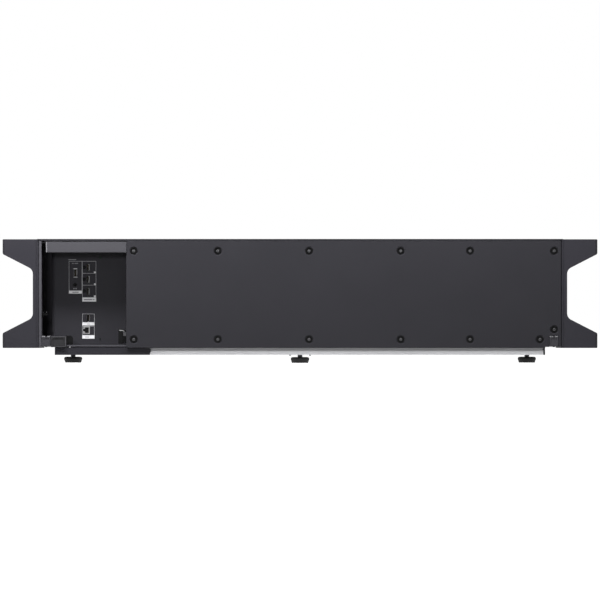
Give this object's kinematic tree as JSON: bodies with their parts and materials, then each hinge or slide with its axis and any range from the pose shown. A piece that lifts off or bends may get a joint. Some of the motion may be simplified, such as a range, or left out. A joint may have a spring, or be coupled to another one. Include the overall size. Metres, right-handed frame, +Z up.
{
  "type": "ultra short throw projector",
  "caption": "Long low ultra short throw projector cabinet with C-section side frames, a rear connector bay, a window in its top and screw feet.",
  "frame": {"origin": "on the floor under the middle of the cabinet, with the feet at their stored height", "axes": "+Z up, +X along the width towards the end without the connector bay, -Y out of the rear face that carries the connectors"},
  "size_m": [1.2466, 0.535, 0.26],
  "materials": {
    "dark_paint": "fine textured powder coat, dark grey",
    "frame_alloy": "dark grey anodised extrusion",
    "silver": "brushed, clear anodised",
    "black_plastic": "fine grained black",
    "zinc_steel": "zinc plated sheet and wire",
    "cast_alloy": "die cast, as cast",
    "board_green": "glass fibre board with green solder resist",
    "port_metal": "nickel plated",
    "rubber": "matt black, moulded",
    "optic_glass": "coated optical glass",
    "mirror_coat": "front surface aluminium coating"
  },
  "bodies": {
    "cabinet": {"bottom_plate": "dark_paint", "side_wall_left": "dark_paint", "side_wall_right": "dark_paint", "top_panel": "dark_paint", "rear_cover": "dark_paint", "rail_end_cover": "dark_paint", "bay_header": "dark_paint", "connector_panel": "dark_paint", "cabinet_bracket_left": "dark_paint", "cabinet_bracket_right": "dark_paint", "side_frame_left": "frame_alloy", "side_frame_right": "frame_alloy", "front_panel": "silver", "base_rail_rear": "silver", "base_rail_front": "silver", "laser_heatsink": "silver", "intake_grille": "black_plastic", "exhaust_grille": "black_plastic", "cable_guide": "black_plastic", "infrared_jack": "black_plastic", "ac_inlet": "black_plastic", "intake_fan_rear_frame": "black_plastic", "intake_fan_front_frame": "black_plastic", "exhaust_fan_rear_frame": "black_plastic", "exhaust_fan_front_frame": "black_plastic", "lens_barrel": "black_plastic", "window_bezel": "black_plastic", "bay_housing": "zinc_steel", "remote_port": "zinc_steel", "focus_motor": "zinc_steel", "power_supply": "zinc_steel", "laser_module": "cast_alloy", "optical_engine": "cast_alloy", "mirror_mount": "cast_alloy", "io_board": "board_green", "main_board": "board_green", "video_port_1": "port_metal", "video_port_2": "port_metal", "video_port_3": "port_metal", "data_port": "port_metal", "network_port": "port_metal", "front_lens": "optic_glass", "window_glass": "optic_glass", "projection_mirror": "mirror_coat"},
    "foot_rear_screw": {"foot_rear_stud": "zinc_steel"},
    "foot_rear_base": {"foot_rear_pad": "rubber"},
    "foot_left_screw": {"foot_left_stud": "zinc_steel"},
    "foot_left_base": {"foot_left_pad": "rubber"},
    "foot_right_screw": {"foot_right_stud": "zinc_steel"},
    "foot_right_base": {"foot_right_pad": "rubber"},
    "intake_fan_rear_rotor": {"intake_fan_rear_rotor": "black_plastic"},
    "intake_fan_front_rotor": {"intake_fan_front_rotor": "black_plastic"},
    "exhaust_fan_rear_rotor": {"exhaust_fan_rear_rotor": "black_plastic"},
    "exhaust_fan_front_rotor": {"exhaust_fan_front_rotor": "black_plastic"},
    "focus_ring_body": {"focus_ring": "black_plastic"},
    "focus_pinion_body": {"focus_pinion": "port_metal"},
    "plug_holder_bail": {"plug_holder": "zinc_steel"},
    "power_button_cap": {"power_button": "black_plastic"},
    "input_button_cap": {"input_button": "black_plastic"},
    "menu_button_cap": {"menu_button": "black_plastic"}
  },
  "joints": [
    {"name": "foot_rear_lift", "type": "slide", "parent": "cabinet", "child": "foot_rear_screw", "axis": [0, 0, -1], "range_m": [-0.004, 0.01]},
    {"name": "foot_rear_turn", "type": "hinge", "parent": "foot_rear_screw", "child": "foot_rear_base", "pos_m": [0, -0.2255, 0], "axis": [0, 0, -1], "range_deg": [-965, 2405]},
    {"name": "foot_left_lift", "type": "slide", "parent": "cabinet", "child": "foot_left_screw", "axis": [0, 0, -1], "range_m": [-0.004, 0.01]},
    {"name": "foot_left_turn", "type": "hinge", "parent": "foot_left_screw", "child": "foot_left_base", "pos_m": [-0.485, 0.2255, 0], "axis": [0, 0, -1], "range_deg": [-965, 2405]},
    {"name": "foot_right_lift", "type": "slide", "parent": "cabinet", "child": "foot_right_screw", "axis": [0, 0, -1], "range_m": [-0.004, 0.01]},
    {"name": "foot_right_turn", "type": "hinge", "parent": "foot_right_screw", "child": "foot_right_base", "pos_m": [0.485, 0.2255, 0], "axis": [0, 0, -1], "range_deg": [-965, 2405]},
    {"name": "intake_fan_rear_spin", "type": "hinge", "parent": "cabinet", "child": "intake_fan_rear_rotor", "pos_m": [-0.529, 0.03, 0.14595], "axis": [1, 0, 0], "continuous": true},
    {"name": "intake_fan_front_spin", "type": "hinge", "parent": "cabinet", "child": "intake_fan_front_rotor", "pos_m": [-0.529, 0.15, 0.14595], "axis": [1, 0, 0], "continuous": true},
    {"name": "exhaust_fan_rear_spin", "type": "hinge", "parent": "cabinet", "child": "exhaust_fan_rear_rotor", "pos_m": [0.529, 0.03, 0.14595], "axis": [1, 0, 0], "continuous": true},
    {"name": "exhaust_fan_front_spin", "type": "hinge", "parent": "cabinet", "child": "exhaust_fan_front_rotor", "pos_m": [0.529, 0.15, 0.14595], "axis": [1, 0, 0], "continuous": true},
    {"name": "focus_ring_turn", "type": "hinge", "parent": "cabinet", "child": "focus_ring_body", "pos_m": [0, -0.0892, 0.112], "axis": [0, 1, 0], "range_deg": [-60, 60]},
    {"name": "focus_pinion_turn", "type": "hinge", "parent": "cabinet", "child": "focus_pinion_body", "pos_m": [0, -0.0892, 0.1843], "axis": [0, 1, 0], "range_deg": [-185, 185]},
    {"name": "plug_holder_swing", "type": "hinge", "parent": "cabinet", "child": "plug_holder_bail", "pos_m": [-0.368, -0.2455, 0.0643], "axis": [0, 1, 0], "range_deg": [-35, 40]},
    {"name": "power_button_press", "type": "slide", "parent": "cabinet", "child": "power_button_cap", "axis": [-1, 0, 0], "range_m": [0, 0.001], "stiffness_N_per_m": 800},
    {"name": "input_button_press", "type": "slide", "parent": "cabinet", "child": "input_button_cap", "axis": [-1, 0, 0], "range_m": [0, 0.001], "stiffness_N_per_m": 800},
    {"name": "menu_button_press", "type": "slide", "parent": "cabinet", "child": "menu_button_cap", "axis": [-1, 0, 0], "range_m": [0, 0.001], "stiffness_N_per_m": 800}
  ],
  "couplings": [
    {"joint": "foot_rear_turn", "follows": "foot_rear_lift", "rad_per_m": 4188.8},
    {"joint": "foot_left_turn", "follows": "foot_left_lift", "rad_per_m": 4188.8},
    {"joint": "foot_right_turn", "follows": "foot_right_lift", "rad_per_m": 4188.8},
    {"joint": "focus_pinion_turn", "follows": "focus_ring_turn", "ratio": -3}
  ]
}
